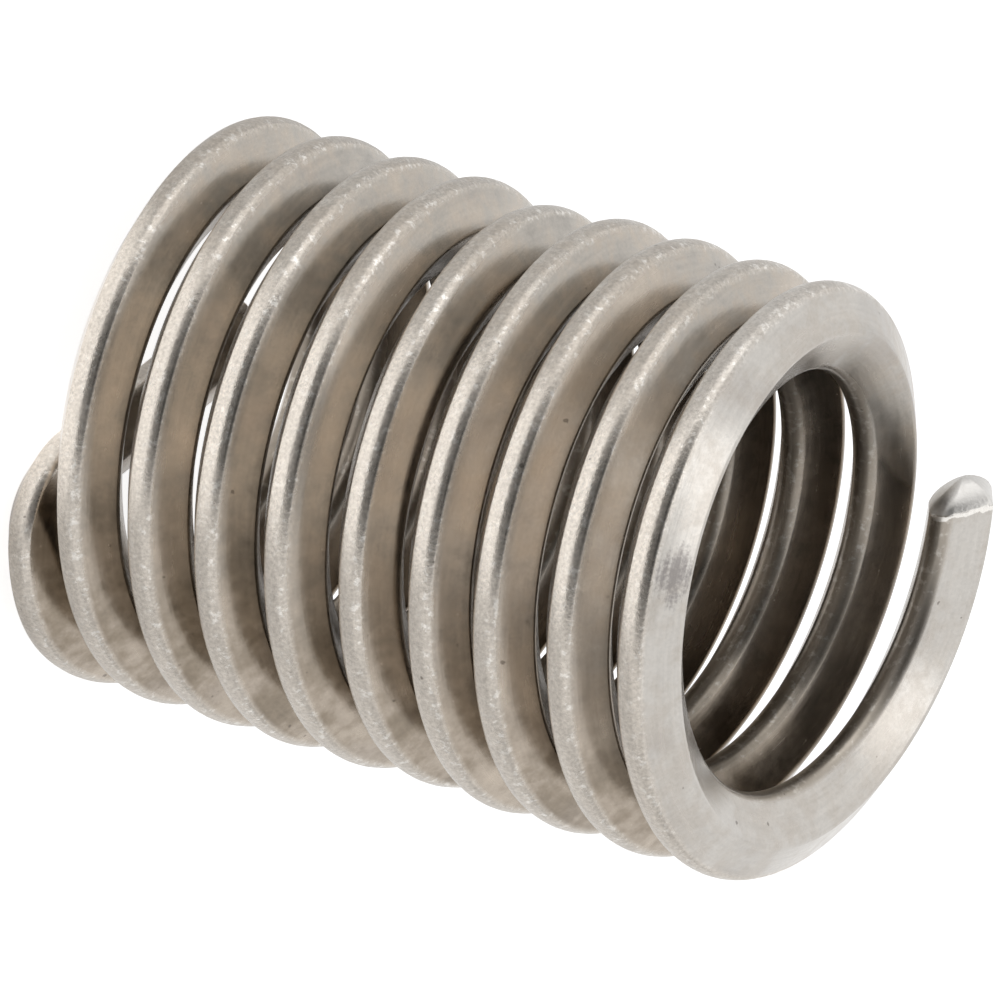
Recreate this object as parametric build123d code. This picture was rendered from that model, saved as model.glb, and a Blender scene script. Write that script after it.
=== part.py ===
from build123d import *
import math
import os

# A screw-thread insert wound from one length of diamond-section stainless wire.
# It stands on the Z axis, with the driving tang at the bottom, z = 0, and the
# free entry end at the top. Sizes are of the insert before it is fitted.

# Coil
outer_diameter = 7.5  # over the outer crests
pitch = 1.02  # of the evenly wound turns
even_turns = 8.125
entry_pitch = 1.14  # the entry end springs open a little
entry_turns = 1.25

# Wire: a diamond with truncated crests
wire_width = 0.9  # along the axis, from corner to corner
flank_angle = 60  # between the two flanks of each crest
outer_crest = 0.31  # crest widths, from flank to flank
inner_crest = 0.25
outer_break = 0.03  # width taken off each side of the outer crest, where its corners are broken
side_break = 0.012  # depth taken off each side corner

# Tang end: the wire turns in from the coil, bends, and crosses the bore
turn_in_radius = 1.94  # centre line of the wire
turn_in_angle = 47.5
bend_radius = 0.72
tang_length = 3.9  # straight stretch
notch_depth = 0.3  # of the nick at which the tang snaps off
notch_width = 0.4
notch_angle = 14  # from the bend back to the nick, round the turned-in stretch

# Winding
largest_segment = 0.25  # of a turn: the coil is made of equal segments
plain_turns = 0.5  # at the tang end, level with the tang
trim_height = 20  # tall enough to trim any segment

outer_radius = outer_diameter / 2
flank_slope = math.tan(math.radians(flank_angle / 2))
outer_flank = (wire_width - outer_crest) / 2 / flank_slope
inner_flank = (wire_width - inner_crest) / 2 / flank_slope
centre_radius = outer_radius - outer_flank
inner_radius = centre_radius - inner_flank
half_width = wire_width / 2 - side_break
lead = pitch / (2 * math.pi * centre_radius)  # rise for each unit of wire


def wire_section(radius, peaked=False):
    """The wire's section on the XZ plane, with its side corners at the given radius.

    A peaked section runs past both crests, and what is made from it is then trimmed.
    """
    side = side_break / flank_slope
    shoulder = outer_break / (1 / flank_slope - flank_slope)
    flat = outer_crest / 2 - outer_break
    outer = [
        (side, half_width),
        (outer_flank - shoulder, outer_crest / 2 + shoulder * flank_slope),
        (outer_flank + flat * flank_slope, 0) if peaked else (outer_flank, flat),
    ]
    inner = [
        (-wire_width / 2 / flank_slope, 0) if peaked else (-inner_flank, inner_crest / 2),
        (-side, half_width),
    ]
    upper = inner + outer
    lower = [(x, -z) for x, z in reversed(upper) if z > 0]
    points = [(radius + x, z) for x, z in upper + lower]
    return Plane.XZ * make_face(Polyline(points, close=True))


def plain_segment(turns, rise):
    """A short stretch of coil, swept to size."""
    path = Helix(rise / turns, rise, centre_radius)
    return sweep(wire_section(centre_radius), path=path, is_frenet=True)


def trimmed_segment(turns, rise):
    """A short stretch of coil whose crests are both trimmed to true cylinders."""
    path = Helix(rise / turns, rise, centre_radius)
    blank = sweep(wire_section(centre_radius, peaked=True), path=path, is_frenet=True)
    return blank & (Cylinder(outer_radius, trim_height) - Cylinder(inner_radius, trim_height))


def wound(make_segment, turns, turn_pitch, angle, height):
    """Segments end to end up the coil, and the angle and height where they stop."""
    count = math.ceil(turns / largest_segment)
    rise = turn_pitch * turns / count
    segment = make_segment(turns / count, rise)
    segments = []
    for _ in range(count):
        segments.append(Pos(0, 0, height) * Rot(0, 0, angle) * segment)
        angle += 360 * turns / count
        height += rise
    return segments, angle, height


# Plan of the tang end. The tang lies along +X and its centre line meets the coil's
# axis. That fixes the angle of the bend, once the radii and the turn-in are given.
turn_in = math.radians(turn_in_angle)
to_bend = turn_in_radius - bend_radius
to_axis = centre_radius - turn_in_radius
along = to_bend + to_axis * math.cos(turn_in)
across = to_axis * math.sin(turn_in)
bend = math.acos(-bend_radius / math.hypot(along, across)) - math.atan2(across, along)
bend_angle = math.degrees(bend)
root_x = -to_bend * math.sin(bend) - to_axis * math.sin(bend + turn_in)
coil_angle = 90 + bend_angle + turn_in_angle
turn_in_rise = lead * turn_in_radius * turn_in


def snap_notch():
    """The wedge that nicks the turned-in stretch on the side that faces the bore."""
    root = turn_in_radius - inner_flank + notch_depth
    mouth = [(root - 2 * notch_depth, side * notch_width) for side in (-1, 1)]
    face = make_face(Polyline([(root, 0)] + mouth, close=True))
    return Rot(0, 0, notch_angle) * extrude(face, amount=wire_width, both=True)


def tang_end():
    """The tang, its bend, and the nicked stretch that joins them to the coil."""
    tang = extrude(Rot(0, 0, 90) * wire_section(0), amount=tang_length, dir=(1, 0, 0))
    bent = revolve(wire_section(bend_radius), axis=Axis.Z, revolution_arc=bend_angle)
    path = Helix(turn_in_rise * 360 / turn_in_angle, turn_in_rise, turn_in_radius)
    turned_in = sweep(wire_section(turn_in_radius), path=path, is_frenet=True) - snap_notch()
    root = Pos(root_x, 0, half_width)
    centre = Rot(0, 0, coil_angle) * Pos(to_axis, 0, half_width)
    return [
        root * tang,
        root * Pos(0, -bend_radius, 0) * Rot(0, 0, 90) * bent,
        Pos(centre.position) * Rot(0, 0, 90 + bend_angle) * turned_in,
    ]


angle, height = coil_angle, half_width + turn_in_rise
lowest, angle, height = wound(plain_segment, plain_turns, pitch, angle, height)
even, angle, height = wound(trimmed_segment, even_turns - plain_turns, pitch, angle, height)
entry, angle, height = wound(trimmed_segment, entry_turns, entry_pitch, angle, height)
first, *rest = tang_end() + lowest + even + entry
insert = first.fuse(*rest)

os.makedirs("parts", exist_ok=True)
export_step(insert, "parts/insert.step")
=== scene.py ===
import bpy
from math import acos, atan2, ceil, cos, exp, hypot, pi, radians, sin, tan
from mathutils import Matrix, Vector


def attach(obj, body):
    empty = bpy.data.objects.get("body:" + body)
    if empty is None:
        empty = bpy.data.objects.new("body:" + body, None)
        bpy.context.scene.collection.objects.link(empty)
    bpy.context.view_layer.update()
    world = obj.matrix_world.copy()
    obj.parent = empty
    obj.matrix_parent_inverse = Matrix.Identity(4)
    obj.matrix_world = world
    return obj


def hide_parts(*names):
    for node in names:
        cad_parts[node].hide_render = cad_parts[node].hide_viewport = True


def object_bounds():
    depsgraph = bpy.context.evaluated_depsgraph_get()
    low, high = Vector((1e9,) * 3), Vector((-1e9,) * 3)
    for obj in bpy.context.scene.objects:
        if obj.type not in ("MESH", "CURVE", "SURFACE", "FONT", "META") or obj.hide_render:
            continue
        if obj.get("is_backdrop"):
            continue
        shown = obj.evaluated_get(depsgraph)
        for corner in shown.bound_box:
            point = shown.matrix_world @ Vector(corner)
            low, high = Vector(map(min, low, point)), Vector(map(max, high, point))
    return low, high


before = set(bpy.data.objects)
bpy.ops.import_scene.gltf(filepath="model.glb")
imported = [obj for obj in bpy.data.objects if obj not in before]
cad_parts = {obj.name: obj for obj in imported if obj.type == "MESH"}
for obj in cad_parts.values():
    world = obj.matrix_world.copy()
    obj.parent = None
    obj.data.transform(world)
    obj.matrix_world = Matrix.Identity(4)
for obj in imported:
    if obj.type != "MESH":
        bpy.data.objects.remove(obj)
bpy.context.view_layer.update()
mm = 0.001


# a link is a node's output, and arithmetic on it adds Math nodes
class Link:
    def __init__(self, maker, socket):
        self.maker, self.socket = maker, socket

    def math(self, operation, *others):
        return self.maker.add("ShaderNodeMath", {"operation": operation}, dict(enumerate((self, *others))))

    def out(self, name):  # another output of the same node
        return Link(self.maker, self.socket.node.outputs[name])

    def __add__(self, other): return self.math("ADD", other)
    def __sub__(self, other): return self.math("SUBTRACT", other)
    def __mul__(self, other): return self.math("MULTIPLY", other)
    def __truediv__(self, other): return self.math("DIVIDE", other)
    def __pow__(self, other): return self.math("POWER", other)
    def __neg__(self): return self.math("MULTIPLY", -1.0)
    def __abs__(self): return self.math("ABSOLUTE")
    __radd__, __rmul__ = __add__, __mul__

    def __rsub__(self, other):
        return self.maker.add("ShaderNodeMath", {"operation": "SUBTRACT"}, {0: other, 1: self})

    def ramp(self, low, high):  # 0 below low, 1 above high, smooth between
        return self.maker.add("ShaderNodeMapRange", {"interpolation_type": "SMOOTHSTEP"},
                              {"Value": self, "From Min": low, "From Max": high})

    def band(self, middle, halfWidth, soft):  # 1 near the middle, 0 beyond it
        return 1 - abs(self - middle).ramp(halfWidth - soft, halfWidth + soft)


class NodeMaker:
    def __init__(self, tree):
        self.tree = tree

    def add(self, kind, settings=None, values=None, output=0):
        node = self.tree.nodes.new(kind)
        for name, value in (settings or {}).items():
            setattr(node, name, value)
        for key, value in (values or {}).items():
            if isinstance(value, Link):
                self.tree.links.new(value.socket, node.inputs[key])
            else:
                node.inputs[key].default_value = value
        return Link(self, node.outputs[output]) if node.outputs else node

    def noise(self, vector, scale, detail=3.0, roughness=0.5):
        return self.add("ShaderNodeTexNoise", {"noise_dimensions": "3D"},
                        {"Vector": vector, "Scale": scale, "Detail": detail, "Roughness": roughness})

    def mix(self, factor, first, second, blend="MIX"):
        return self.add("ShaderNodeMix", {"data_type": "RGBA", "blend_type": blend},
                        {0: factor, 6: first, 7: second}, output=2)

    def vector(self, operation, first, second, output=0):
        return self.add("ShaderNodeVectorMath", {"operation": operation}, {0: first, 1: second}, output)

    def scaled(self, vector, factor):
        return self.add("ShaderNodeVectorMath", {"operation": "SCALE"}, {0: vector, "Scale": factor})

    def dot(self, first, second):
        return self.vector("DOT_PRODUCT", first, second, "Value")


def addObject(name, data):
    added = bpy.data.objects.new(name, data)
    bpy.context.scene.collection.objects.link(added)
    return added


def newMaterial(name):
    material = bpy.data.materials.new(name)
    material.use_nodes = True
    material.node_tree.nodes.clear()
    return material, NodeMaker(material.node_tree)


# drawn and rolled stainless, with a grainy crest and a brown film in the grooves; painted shade, painted
# highlights and painted glints are added where noted
steel = {
    "cleanColor": (0.60, 0.572, 0.535, 1),
    # in the grooves, past the first turn: near it, far from it, and by side: greyer on the side highest in
    # view, and darker and browner on the side lowest in view, which is painted shade
    "nearColor": (0.57, 0.515, 0.455, 1),
    "farColor": (0.475, 0.425, 0.365, 1),
    "upperSideColor": (0.475, 0.45, 0.41, 1),
    "shadedSideColor": (0.32, 0.26, 0.195, 1),
    # direction of the side lowest in view, where shade is painted into the grooves
    "shadedSide": (-0.46, -0.89, 0.0),
    "grooveFilm": (14.0, 24.0),  # mm back from the free end, where the film begins and where it is full
    "farFilm": (25.0, 140.0),  # and where it goes from near to far
    "upperSideSpan": (-3.2, -1.0),  # mm towards the shaded side, where the greyer upper side ends
    "shadedSpan": (0.7, 3.1),  # and where the painted shade of the lower side begins and is full
    "stainColor": (0.46, 0.40, 0.335, 1),
    "darkPatchColor": (0.22, 0.20, 0.195, 1),
    "dirtColor": (0.10, 0.08, 0.065, 1),
    # bright colour for the painted glints and for the burr's painted highlight
    "glintColor": (0.93, 0.90, 0.85, 1),
    "crestColor": (0.60, 0.55, 0.49, 1),
    "crestFade": (0.13, 0.03),  # mm below the outer crest, where its look begins and is full
    "cutColor": (0.74, 0.725, 0.70, 1),
    # painted shade: the inner crest, deep in the bore, is darker and browner
    "boreShadeColor": (0.38, 0.335, 0.28, 1),
    "boreFade": (0.03, 0.10),  # mm above the inner crest, where its look is full and ends
    "roughness": 0.20,
    "crestRoughness": 0.25,
    "blotchScale": 1.1,  # all scales are per mm
    "mottleScale": 5.0,
    "streakScale": (1.2, 16, 16),  # along, across and up the wire
    "grainScale": 21.0,
    "grainHeight": 0.0055,  # mm
    "grainStrength": 0.6,
    "smudgeScale": 0.7,
    "glintScale": 9.0,
    "pitScale": 4.6,
    "cutFrom": (0.303, 0.318),  # mm back from the tip, where the torn face ends
    "burrHighlight": (0.343, 0.040, 0.012),  # the painted highlight of the burr below it: mm back, half width and softness
    # marks: mm back from the free end, mm outward from the wire's middle, whether on the upper side
    # only, half length, half width, strength and tint
    # one dark patch, on the upper flank of the first turn
    "marks": [(11.89, 0.21, True, 0.32, 0.19, 0.70, "darkPatchColor")],
}


def steelMaterial(look, wire, length):
    material, make = newMaterial("drawnSteel")
    place = make.add("ShaderNodeAttribute", {"attribute_name": "wirePlace"}, output="Vector")
    along = make.add("ShaderNodeSeparateXYZ", {}, {0: place}, output="X")  # mm from the tang's tip
    across, upward = along.out("Y"), along.out("Z")  # mm outward and up from the wire's centre line
    around = make.add("ShaderNodeTexCoord", {}, {}, output="Object")
    spot = make.scaled(around, 1 / mm)

    outerFlank, innerFlank = flankDepths(wire)
    crest = across.ramp(*[outerFlank - depth for depth in look["crestFade"]])
    bore = 1 - across.ramp(*[height - innerFlank for height in look["boreFade"]])

    blotch = make.noise(spot, look["blotchScale"])
    mottle = make.noise(spot, look["mottleScale"], roughness=0.55)
    streak = make.noise(make.vector("MULTIPLY", place, look["streakScale"]), 1.0, roughness=0.6)
    grain = make.noise(spot, look["grainScale"], roughness=0.65)

    stain = (blotch * 0.6 + mottle * 0.4).ramp(0.40, 0.60)
    fromEnd = length - along
    groove = fromEnd.ramp(*look["grooveFilm"])
    # painted shade: the film turns darker and browner towards the side lowest in view, and greyer towards
    # the side highest in view
    brown = make.dot(spot, look["shadedSide"])
    notGray = brown.ramp(*look["upperSideSpan"])
    far = fromEnd.ramp(*look["farFilm"]) * across.ramp(-0.25, 0.05)
    film = make.mix(far, look["nearColor"], look["farColor"])
    film = make.mix((1 - notGray) * 0.7, film, look["upperSideColor"])
    film = make.mix(brown.ramp(*look["shadedSpan"]) * 0.85, film, look["shadedSideColor"])
    color = make.mix(groove, look["cleanColor"], film)
    color = make.mix(stain * (groove * 0.45 + 0.35), color, look["stainColor"])
    smudge = make.noise(spot, look["smudgeScale"], 2.0).ramp(0.56, 0.70)
    color = make.mix(smudge * 0.15, color, look["darkPatchColor"])
    # the crest's tint changes by side too: it is fuller towards the side lowest in view
    color = make.mix(crest * (notGray * 0.55 + 0.45), color, look["crestColor"])
    # painted shade in the bore
    color = make.mix(bore * 0.8, color, look["boreShadeColor"])
    for back, outward, high, long, wide, share, tint in look["marks"]:
        reach = ((fromEnd - back) / long) ** 2.0 + ((across - outward) / wide) ** 2.0
        side = upward.ramp(-0.05, 0.05) if high else 1.0
        broken = reach + (mottle - 0.5) * 1.5 + (streak - 0.5) * 2.6 + (grain - 0.5) * 2.5
        mark = (1 - broken.ramp(-0.2, 1.5)) * side * share
        color = make.mix(mark, color, look[tint])
    edgeGlint = crest * upward.ramp(0.02, 0.10)  # painted highlight along the crest's upper edge
    # painted glints: bright specks on the crest, along its upper edge and in the bore
    glint = make.noise(spot, look["glintScale"], 4.0, 0.62).ramp(0.53, 0.66)
    color = make.mix(glint * (crest * 0.18 + edgeGlint * 0.45 + bore * 0.35), color, look["glintColor"])
    pit = make.noise(spot, look["pitScale"], 2.0).ramp(0.745, 0.775)
    color = make.mix(pit * 0.6, color, look["dirtColor"])
    cut = 1 - fromEnd.ramp(*look["cutFrom"])
    color = make.mix(cut * 0.8, color, look["cutColor"])
    # painted highlight: a bright, broken line along the burr below the torn face
    burrHighlight = (fromEnd + (mottle - 0.5) * 0.22).band(*look["burrHighlight"])
    burrHighlight = burrHighlight * (upward * 1.7 - across).ramp(0.35, 0.5)  # on the upper side that faces the bore
    color = make.mix(burrHighlight, color, look["glintColor"])
    shade = (grain - 0.5) * (crest * 0.7 + 0.25) + (streak - 0.5) * 0.25 + 1.0
    shade = shade + ((blotch - 0.5) * 0.9 + (mottle - 0.5) * 0.45) * groove * (1 - crest)
    # painted shade: in the grooves the upper flank darkens towards its side corner, where it meets the next
    # turn
    shade = shade - groove * (1 - across.ramp(0.0, 0.16)) * upward.ramp(0.0, 0.1) * 0.25
    gray = make.add("ShaderNodeCombineColor", {}, {0: shade, 1: shade, 2: shade})
    color = make.mix(1.0, color, gray, "MULTIPLY")

    roughness = look["roughness"] + (look["crestRoughness"] - look["roughness"]) * crest
    roughness = roughness + (streak - 0.5) * 0.12 + stain * 0.06 + cut * 0.12 + bore * 0.10
    height = grain * (crest * 0.85 + 0.15 + cut) + streak * 0.3
    bump = make.add("ShaderNodeBump", {}, {
        "Strength": look["grainStrength"], "Distance": look["grainHeight"] * mm, "Height": height})
    shader = make.add("ShaderNodeBsdfPrincipled", {}, {
        "Base Color": color, "Metallic": 1.0, "Roughness": roughness, "Normal": bump})
    make.add("ShaderNodeOutputMaterial", {}, {"Surface": shader})
    return material


# the centre line is planned here, and Geometry Nodes draw the wire along it
insert = {
    "outerRadius": 3.75,  # all in mm
    "pitch": 1.02,
    "evenTurns": 8.125,
    "entryPitch": 1.116,
    "entryTurns": 1.25,
    "turnInRadius": 1.94,
    "turnInAngle": 47.5,
    "bendRadius": 0.72,
    "tangLength": 3.9,
    "notchDepth": 0.3,
    "notchWidth": 0.4,
    "notchAngle": 14,
    "ringsPerTurn": 144,
    "tangRings": 15,
    "bendRings": 18,
    "turnInRings": 40,
    # turns that sit a little out of line: turn down from the free end, spread in turns,
    # change of radius, change of height
    "unevenTurns": [(0.60, 0.28, 0.0, -0.09), (2.45, 0.40, 0.0, -0.045), (3.45, 0.40, 0.0, 0.045),
                    (4.70, 0.42, -0.10, 0.0), (6.00, 0.55, 0.0, -0.035), (7.40, 0.30, 0.0, 0.03),
                    (7.90, 0.25, 0.0, -0.03)],
    # the torn end is a blunt lump: mm back from where the even wire stops, scale of the section
    "freeEnd": [(0.10, 1.0), (0.07, 0.997), (0.04, 0.998), (0.018, 0.992), (0.0, 0.97),
                (-0.035, 0.93), (-0.072, 0.88), (-0.108, 0.81), (-0.143, 0.725), (-0.178, 0.62),
                (-0.212, 0.50), (-0.243, 0.38), (-0.268, 0.27), (-0.287, 0.17), (-0.30, 0.07)],
    # its lower side slopes back by this much, in full up to this far from the tip, gone at this far
    "freeEndTilt": (0.25, 0.40, 0.95),
    "tangTip": [(0.05, 1.0), (0.022, 0.985), (0.006, 0.955), (0.0, 0.90)],
}
wire = {
    "width": 0.925,  # between the side corners, before they are rounded
    "flankAngle": 60,
    "outerCrest": 0.31,
    "innerCrest": 0.25,
    "crown": 0.034,  # the outer crest's blunt peak, before it is rounded
    "crownDrop": 0.05,  # and how far its edges lie below its middle
    "crownRadius": 0.26,
    "edgeRounding": 0.09,  # radius at the edges of the outer crest
    "sideRounding": 0.085,
    "innerRounding": 0.19,
}


def flankDepths(wire):
    # from the side corners to each crest
    slope = tan(radians(wire["flankAngle"] / 2))
    return [(wire["width"] - wire[crest]) / 2 / slope for crest in ("outerCrest", "innerCrest")]


def shapeEnd(line, profile):
    # the last point is drawn out into a few, over which the section shrinks
    last, before = Vector(line[-1][:3]), Vector(line[-2][:3])
    direction = (last - before).normalized()
    return line[:-1] + [(*(last - direction * back), scale, 0.0) for back, scale in profile]


def wirePath(insert, wire):
    outerFlank, innerFlank = flankDepths(wire)
    centreRadius = insert["outerRadius"] - outerFlank
    # height of the tang's centre line: its side corner is rounded and rests on the floor
    rest = wire["width"] / 2 - wire["sideRounding"] * (1 / cos(radians(wire["flankAngle"] / 2)) - 1)
    lead = insert["pitch"] / (2 * pi * centreRadius)
    turnIn = radians(insert["turnInAngle"])
    toBend = insert["turnInRadius"] - insert["bendRadius"]
    toAxis = centreRadius - insert["turnInRadius"]
    along = toBend + toAxis * cos(turnIn)
    offAxis = toAxis * sin(turnIn)
    bend = acos(-insert["bendRadius"] / hypot(along, offAxis)) - atan2(offAxis, along)
    rootX = -toBend * sin(bend) - toAxis * sin(bend + turnIn)
    coilStart = pi / 2 + bend + turnIn
    points = []  # x, y, z, section scale, notch depth, and in the end how far the cut slopes

    def addPoint(centre, radius, angle, height, notch=0.0):
        points.append((centre[0] + radius * cos(angle), centre[1] + radius * sin(angle), height, 1.0, notch))

    count = insert["tangRings"]
    for i in range(count):
        points.append((rootX + insert["tangLength"] * (1 - i / count), 0, rest, 1.0, 0.0))
    count = insert["bendRings"]
    for i in range(count):
        addPoint((rootX, -insert["bendRadius"]), insert["bendRadius"], pi / 2 + bend * i / count, rest)
    centre = (toAxis * cos(coilStart), toAxis * sin(coilStart))
    notchAt = radians(insert["notchAngle"])
    crestRadius = insert["turnInRadius"] - innerFlank
    count = insert["turnInRings"]
    for i in range(count):
        angle = turnIn * i / count
        away = abs(angle - notchAt) * crestRadius
        notch = max(0.0, insert["notchDepth"] * (1 - away * 2 / insert["notchWidth"]))
        addPoint(centre, insert["turnInRadius"], pi / 2 + bend + angle,
                 rest + lead * insert["turnInRadius"] * angle, notch)
    base = rest + lead * insert["turnInRadius"] * turnIn
    turns = insert["evenTurns"] + insert["entryTurns"]
    count = ceil(turns * insert["ringsPerTurn"])
    for i in range(count + 1):
        turn = turns * i / count
        entry = max(0.0, turn - insert["evenTurns"])
        height = base + insert["pitch"] * turn + (insert["entryPitch"] - insert["pitch"]) * entry
        radius = centreRadius
        for middle, spread, change, shift in insert["unevenTurns"]:
            bell = exp(-((turns - turn - middle) / spread) ** 2)
            radius += change * bell
            height += shift * bell
        addPoint((0, 0), radius, coilStart + 2 * pi * turn, height)
    points = shapeEnd(points, insert["freeEnd"])
    points = shapeEnd(points[::-1], insert["tangTip"])[::-1]
    tilt, full, gone = insert["freeEndTilt"]
    tip = Vector(points[-1][:3])
    away = [(Vector(point[:3]) - tip).length for point in points]
    return [(*point, tilt * min(1.0, max(0.0, (gone - far) / (gone - full))))
            for point, far in zip(points, away)]


def wireTree(material):
    tree = bpy.data.node_groups.new("drawWire", "GeometryNodeTree")
    tree.interface.new_socket("Centre line", in_out="INPUT", socket_type="NodeSocketGeometry")
    for name in ("Width", "Flank slope", "Outer crest", "Inner crest", "Crown", "Crown drop",
                 "Crown radius", "Edge rounding", "Side rounding", "Inner rounding"):
        tree.interface.new_socket(name, in_out="INPUT", socket_type="NodeSocketFloat")
    tree.interface.new_socket("Wire", in_out="OUTPUT", socket_type="NodeSocketGeometry")
    make = NodeMaker(tree)
    given = make.add("NodeGroupInput", output="Centre line")
    width, slope = given.out("Width"), given.out("Flank slope")
    outerCrest, innerCrest = given.out("Outer crest"), given.out("Inner crest")

    # section: a crowned outer crest, two side corners and an inner crest, with every corner rounded
    def corner(x, y):
        return make.add("ShaderNodeCombineXYZ", {}, {0: x, 1: y})

    edge, side, innerRounding = [given.out(name + " rounding") for name in ("Edge", "Side", "Inner")]
    outer = (width - outerCrest) * 0.5 / slope
    inner = (width - innerCrest) * -0.5 / slope
    shoulder = outer - given.out("Crown drop")
    corners = [corner(outer + given.out("Crown"), 0.0), corner(shoulder, outerCrest * 0.5),
               corner(0.0, width * 0.5), corner(inner, innerCrest * 0.5),
               corner(inner, innerCrest * -0.5), corner(0.0, width * -0.5),
               corner(shoulder, outerCrest * -0.5)]
    roundings = [given.out("Crown radius"), edge, side, innerRounding, innerRounding, side, edge]

    def byCorner(kind, choices):
        chosen = make.add("GeometryNodeIndexSwitch", {"data_type": kind})
        switch = chosen.socket.node
        while len(switch.index_switch_items) < len(choices):
            switch.index_switch_items.new()
        tree.links.new(make.add("GeometryNodeInputIndex").socket, switch.inputs["Index"])
        for i, choice in enumerate(choices):
            tree.links.new(choice.socket, switch.inputs[i + 1])
        return chosen

    section = make.add("GeometryNodeCurvePrimitiveCircle", {"mode": "RADIUS"}, {"Resolution": 7})
    section = make.add("GeometryNodeSetPosition", {}, {
        "Geometry": section, "Position": byCorner("VECTOR", corners)})
    section = make.add("GeometryNodeFilletCurve", {"mode": "POLY"}, {
        "Curve": section, "Count": 5, "Radius": byCorner("FLOAT", roundings), "Limit Radius": True})

    def keep(geometry, name, value, kind="FLOAT_VECTOR"):
        return make.add("GeometryNodeStoreNamedAttribute", {"data_type": kind, "domain": "POINT"}, {
            "Geometry": geometry, "Name": name, "Value": value})

    def read(name, kind="FLOAT"):
        return make.add("GeometryNodeInputNamedAttribute", {"data_type": kind}, {"Name": name})

    section = keep(section, "sectionPlace", make.add("GeometryNodeInputPosition"))

    # centre line: a chain of edges made a curve, with level normals that point away from each bend
    line = make.add("GeometryNodeMeshToCurve", {}, {"Mesh": given})
    line = make.add("GeometryNodeSetCurveNormal", {"mode": "Z_UP"}, {"Curve": line})
    line = keep(line, "wireLength", make.add("GeometryNodeSplineParameter", output="Length"), "FLOAT")
    line = keep(line, "outward", make.add("GeometryNodeInputNormal"))
    line = keep(line, "forward", make.add("GeometryNodeInputTangent"))
    body = make.add("GeometryNodeCurveToMesh", {}, {
        "Curve": line, "Profile Curve": section, "Scale": read("sectionScale"), "Fill Caps": True})
    body = make.add("GeometryNodeMergeByDistance", {"mode": "ALL"}, {"Geometry": body, "Distance": 1e-6})

    # the notch: whatever lies inside its floor moves out to it
    sectionX = make.add("ShaderNodeSeparateXYZ", {}, {0: read("sectionPlace", "FLOAT_VECTOR")})
    sectionY = -sectionX.out("Y")  # upward
    notch = read("notchDepth")
    lift = (inner + notch - sectionX).math("MAXIMUM", 0.0) * notch.math("GREATER_THAN", 0.0)
    body = make.add("GeometryNodeSetPosition", {}, {
        "Geometry": body, "Offset": make.scaled(read("outward", "FLOAT_VECTOR"), lift)})

    # the cut end: its lower side moves back along the wire
    lower = 0.5 - sectionY * read("sectionScale") / width
    back = read("slope") * lower * lower * -1.0
    body = make.add("GeometryNodeSetPosition", {}, {
        "Geometry": body, "Offset": make.scaled(read("forward", "FLOAT_VECTOR"), back)})

    # where each point lies on the wire, in mm, for the steel
    wirePlace = make.add("ShaderNodeCombineXYZ", {}, {0: read("wireLength"), 1: sectionX, 2: sectionY})
    body = keep(body, "wirePlace", make.scaled(wirePlace, 1 / mm))
    body = make.add("GeometryNodeSetShadeSmooth", {}, {"Geometry": body, "Shade Smooth": True})
    body = make.add("GeometryNodeRealizeInstances", {}, {"Geometry": body})
    body = make.add("GeometryNodeSetMaterial", {}, {"Geometry": body, "Material": material})
    make.add("NodeGroupOutput", {}, {"Wire": body})
    return tree


def setInputs(modifier, values):
    for item in modifier.node_group.interface.items_tree:
        if item.in_out == "INPUT" and item.name in values:
            modifier[item.identifier] = values[item.name]


def makeWire(path, wire, material):
    mesh = bpy.data.meshes.new("centreLine")
    mesh.from_pydata([[c * mm for c in point[:3]] for point in path],
                     [(i, i + 1) for i in range(len(path) - 1)], [])
    for name, column, unit in (("sectionScale", 3, 1.0), ("notchDepth", 4, mm), ("slope", 5, mm)):
        mesh.attributes.new(name, "FLOAT", "POINT").data.foreach_set(
            "value", [point[column] * unit for point in path])
    line = addObject("centreLine", mesh)
    modifier = line.modifiers.new("drawWire", "NODES")
    modifier.node_group = wireTree(material)
    setInputs(modifier, {
        "Width": wire["width"] * mm, "Flank slope": tan(radians(wire["flankAngle"] / 2)),
        "Outer crest": wire["outerCrest"] * mm, "Inner crest": wire["innerCrest"] * mm,
        "Crown": wire["crown"] * mm, "Crown drop": wire["crownDrop"] * mm,
        "Crown radius": wire["crownRadius"] * mm, "Edge rounding": wire["edgeRounding"] * mm,
        "Side rounding": wire["sideRounding"] * mm, "Inner rounding": wire["innerRounding"] * mm})
    evaluated = line.evaluated_get(bpy.context.evaluated_depsgraph_get())
    solid = bpy.data.meshes.new_from_object(evaluated)
    line.modifiers.remove(modifier)
    bpy.data.objects.remove(line)
    solid.name = "threadWire"
    return addObject("threadWire", solid)


path = wirePath(insert, wire)
length = sum(hypot(*(b - a for a, b in zip(p[:3], q[:3]))) for p, q in zip(path, path[1:]))
threadWire = makeWire(path, wire, steelMaterial(steel, wire, length))
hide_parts("insert")
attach(threadWire, "root")
print("wire drawn:", len(threadWire.data.vertices), "points")


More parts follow.
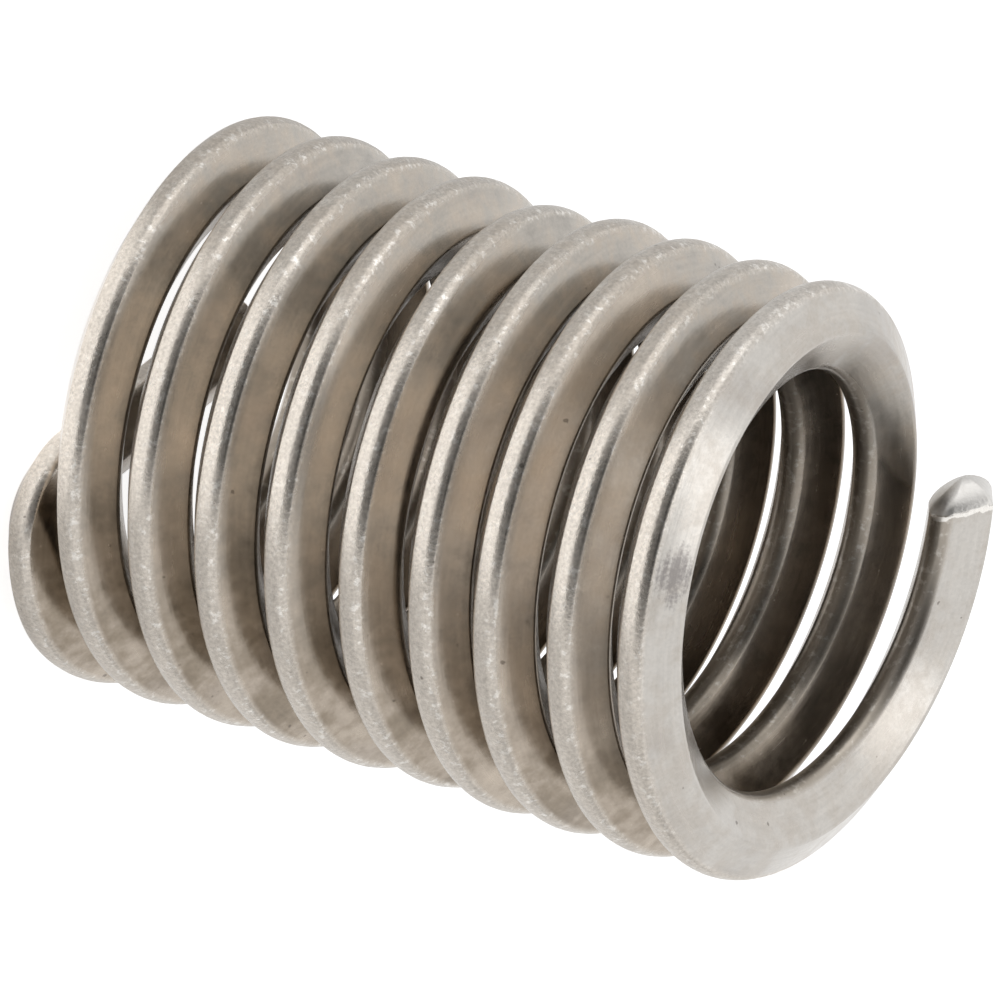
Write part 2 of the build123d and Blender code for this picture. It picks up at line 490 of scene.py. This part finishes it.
# a pale floor, a light tent and two lamps
stage = {
    "floorSize": 0.6,
    "floorColor": (0.80, 0.80, 0.80, 1),
    "floorGlow": 0.84,  # added for the camera, so that the floor is white
    "floorSheen": 0.40,  # added in reflections
    # lit parts of the floor, seen in reflections: direction, cosines of the angles at which
    # each is gone and is full, and level
    "panels": [((-0.77, 0.64), 0.64, 0.94, 0.68), ((0.86, -0.51), 0.80, 0.95, 0.25),
               ((0.0, -1.0), 0.60, 0.90, 0.14)],
    "worldLevel": 0.55,
    # dim openings of the light tent, as the camera sees them: direction to the right, up and back,
    # cosines of the angles at which each is gone and is darkest, and how much light it takes
    "openings": [((0.0, 0.10, 1.0), 0.66, 0.93, 0.82), ((0.50, -0.03, 0.87), 0.87, 0.94, 0.75),
                 ((0.0, -1.0, -0.2), 0.80, 0.93, 0.25)],
    # lamps: direction likewise, distance, width and height in metres, power in watts
    "lamps": {
        "rightSoftbox": ((0.94, -0.03, 0.34), 0.22, 0.06, 0.08, 0.013),
        "topSoftbox": ((0.10, 0.95, 0.45), 0.25, 0.25, 0.15, 0.06),
    },
}


def makeFloor(stage):
    half = stage["floorSize"] / 2
    mesh = bpy.data.meshes.new("floor")
    corners = [(-half, -half, 0), (half, -half, 0), (half, half, 0), (-half, half, 0)]
    mesh.from_pydata(corners, [], [(0, 1, 2, 3)])
    material, make = newMaterial("paleFloor")
    diffuse = make.add("ShaderNodeBsdfDiffuse", {}, {"Color": stage["floorColor"]})
    rays = make.add("ShaderNodeLightPath", {}, {}, output="Is Camera Ray")
    spot = make.add("ShaderNodeTexCoord", {}, {}, output="Object")
    outward = make.add("ShaderNodeVectorMath", {"operation": "NORMALIZE"}, {0: spot})
    sheen = stage["floorSheen"]
    for toward, outer, inner, level in stage["panels"]:
        sheen = make.dot(outward, (*toward, 0)).ramp(outer, inner) * level + sheen
    glow = make.add("ShaderNodeEmission", {}, {
        "Strength": rays * stage["floorGlow"] + rays.out("Is Glossy Ray") * sheen})
    both = make.add("ShaderNodeAddShader", {}, {0: diffuse, 1: glow})
    make.add("ShaderNodeOutputMaterial", {}, {"Surface": both})
    mesh.materials.append(material)
    addObject("floor", mesh)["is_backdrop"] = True


def makeWorld(stage, turn):
    world = bpy.data.worlds.new("softRoom")
    bpy.context.scene.world = world
    world.use_nodes = True
    world.node_tree.nodes.clear()
    make = NodeMaker(world.node_tree)
    rays = make.add("ShaderNodeLightPath", {}, {}, output="Is Camera Ray")
    seen = (rays + rays.out("Is Glossy Ray") + rays.out("Is Transmission Ray")).math("MINIMUM", 1.0)
    direction = make.add("ShaderNodeTexCoord", output="Generated")
    strength = seen * (1 - stage["worldLevel"]) + stage["worldLevel"]
    for toward, outer, inner, share in stage["openings"]:
        facing = make.dot(direction, turn @ Vector(toward).normalized())
        strength = strength * (1 - facing.ramp(outer, inner) * (1 - rays) * share)
    background = make.add("ShaderNodeBackground", {}, {"Color": (1, 1, 1, 1), "Strength": strength})
    make.add("ShaderNodeOutputWorld", {}, {"Surface": background})


def addLamp(name, centre, turn, toward, distance, width, height, watts):
    data = bpy.data.lights.new(name, "AREA")
    data.shape, data.size, data.size_y, data.energy = "RECTANGLE", width, height, watts
    lamp = addObject(name, data)
    back = Vector(toward).normalized()
    right = Vector((0, 1, 0)).cross(back).normalized()
    facing = turn @ Matrix((right, back.cross(right), back)).transposed()
    lamp.matrix_world = Matrix.Translation(centre + turn @ back * distance) @ facing.to_4x4()


view = {
    "aim": Vector((0, 0, 0.0051596)),  # on the coil's axis
    "right": Vector((0.52809, -0.01625, 0.84903)),
    "up": Vector((0.44217, 0.85885, -0.25859)),
    "back": Vector((-0.72499, 0.51198, 0.46073)),
    "distance": 0.202875,
    "sideways": 0.00023218,
    "upward": -0.00013734,
    "lens": 586.32,
}


def makeCamera(view):
    data = bpy.data.cameras.new("camera")
    data.lens, data.sensor_width, data.clip_start = view["lens"], 36.0, 0.001
    camera = addObject("camera", data)
    place = (view["aim"] + view["back"] * view["distance"]
             + view["right"] * view["sideways"] + view["up"] * view["upward"])
    turn = Matrix((view["right"], view["up"], view["back"])).transposed()
    camera.matrix_world = Matrix.Translation(place) @ turn.to_4x4()
    bpy.context.scene.camera = camera
    return turn


makeFloor(stage)
turn = makeCamera(view)
makeWorld(stage, turn)
low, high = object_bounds()
for name, settings in stage["lamps"].items():
    addLamp(name, (Vector(low) + Vector(high)) / 2, turn, *settings)
bpy.context.scene.view_settings.view_transform = "Standard"
print("floor, lights and camera set")
